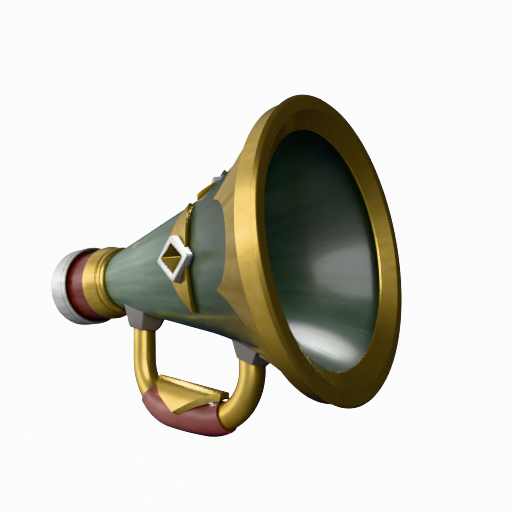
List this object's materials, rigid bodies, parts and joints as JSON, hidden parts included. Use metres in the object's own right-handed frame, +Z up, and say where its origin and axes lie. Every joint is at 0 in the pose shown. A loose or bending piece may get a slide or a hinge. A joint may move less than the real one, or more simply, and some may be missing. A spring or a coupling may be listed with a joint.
{
  "type": "speaking trumpet",
  "caption": "Flared hailing horn with a heavy brass bell rim, leaf-and-stud ornaments, a ringed mouthpiece and a U-shaped handle with a padded grip below.",
  "frame": {"origin": "on the horn's axis, at the open end of the mouth tube", "axes": "+X along the horn's axis from mouth to bell, +Z up, the handle hangs towards -Z, -Y is the side seen in the picture"},
  "size_m": [0.2834, 0.2016, 0.2264],
  "materials": {
    "green_paint": "worn green paint, satin",
    "brass": "polished, darkened in places",
    "dull_brass": "dull",
    "pewter": "pale grey metal, satin",
    "red_paint": "red gloss paint",
    "red_leather": "smooth red leather",
    "grey_iron": "dressed cast iron",
    "steel": "plain"
  },
  "bodies": {
    "root": {"horn_cone": "green_paint", "rim_band": "brass", "bell_ring": "brass", "scalloped_sleeve": "dull_brass", "collar_rear": "brass", "collar_front": "brass", "mouth_tube": "dull_brass", "mouth_sleeve": "red_paint", "lip_ring": "pewter", "leaf_right": "brass", "leaf_top": "brass", "leaf_left": "brass", "bezel_right": "pewter", "bezel_top": "pewter", "bezel_left": "pewter", "stud_right": "brass", "stud_top": "brass", "stud_left": "brass", "boss_rear": "grey_iron", "boss_front": "grey_iron", "handle_tube": "brass", "handle_plugs": "dull_brass", "boss_screws": "steel", "screw_washers": "dull_brass", "grip_sleeve": "red_leather", "grip_saddle": "brass", "saddle_posts": "dull_brass"}
  },
  "joints": []
}
